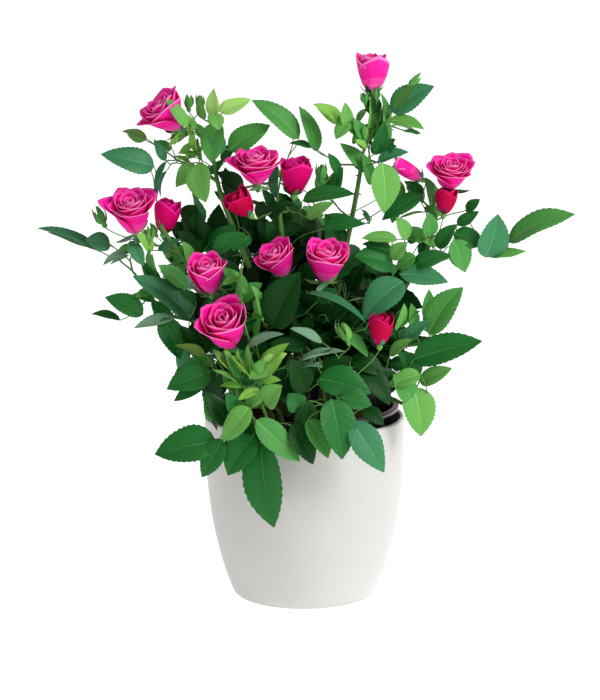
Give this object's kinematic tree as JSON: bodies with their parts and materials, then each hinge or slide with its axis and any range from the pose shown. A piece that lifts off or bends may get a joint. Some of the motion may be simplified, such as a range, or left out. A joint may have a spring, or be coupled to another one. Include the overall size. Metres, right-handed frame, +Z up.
{
  "type": "potted miniature rose bush",
  "caption": "Miniature rose bush with pink double blooms and toothed leaflets, in a black grower's pot set in a plain white cover pot.",
  "frame": {"origin": "centre of the cover pot's flat underside", "axes": "+Z up the pot's axis; -Y the front, where the lowest leaves hang over the rim; +X the bush's right side seen from the front"},
  "size_m": [0.3532, 0.2043, 0.3562],
  "materials": {
    "cover_pot": "smooth white moulded plastic with a faint satin sheen",
    "grower_pot": "thin glossy black plastic, finely ribbed",
    "soil": "damp crumbly dark brown potting soil",
    "cane": "green rose bark, browner and rougher at the foot, with small thorns",
    "leaves": "satin dark green leaflets with pale midribs",
    "young_leaves": "satin light green young leaflets"
  },
  "bodies": {
    "root": {"cover_pot": "cover_pot", "grower_pot": "grower_pot", "potting_soil": "soil", "cane_left": "cane", "cane_top_left": "cane", "cane_centre": "cane", "cane_top_right": "cane", "cane_right": "cane", "cane_back_left": "cane", "cane_back_right": "cane", "cane_back": "cane", "cane_front_left": "cane", "cane_front_right": "cane", "bough_far_right": "cane", "bough_flank_left": "cane", "bough_flank_right": "cane", "bough_side_right": "cane", "bough_back_low": "cane", "leaves_top_left": "young_leaves", "leaves_left": "leaves", "leaves_flank_left": "leaves", "leaves_top_right": "young_leaves", "leaves_right": "leaves", "leaves_far_right": "leaves", "leaves_flank_right": "leaves", "leaves_crown_top": "leaves", "leaves_back_top": "leaves", "leaves_back_left": "leaves", "leaves_back_right": "leaves", "leaves_apron_left": "leaves", "leaves_apron_right": "leaves", "leaves_side_right": "young_leaves", "leaves_back_low": "leaves", "leaves_core_left": "leaves", "leaves_core_right": "leaves", "leaves_core_back": "leaves"}
  },
  "joints": []
}
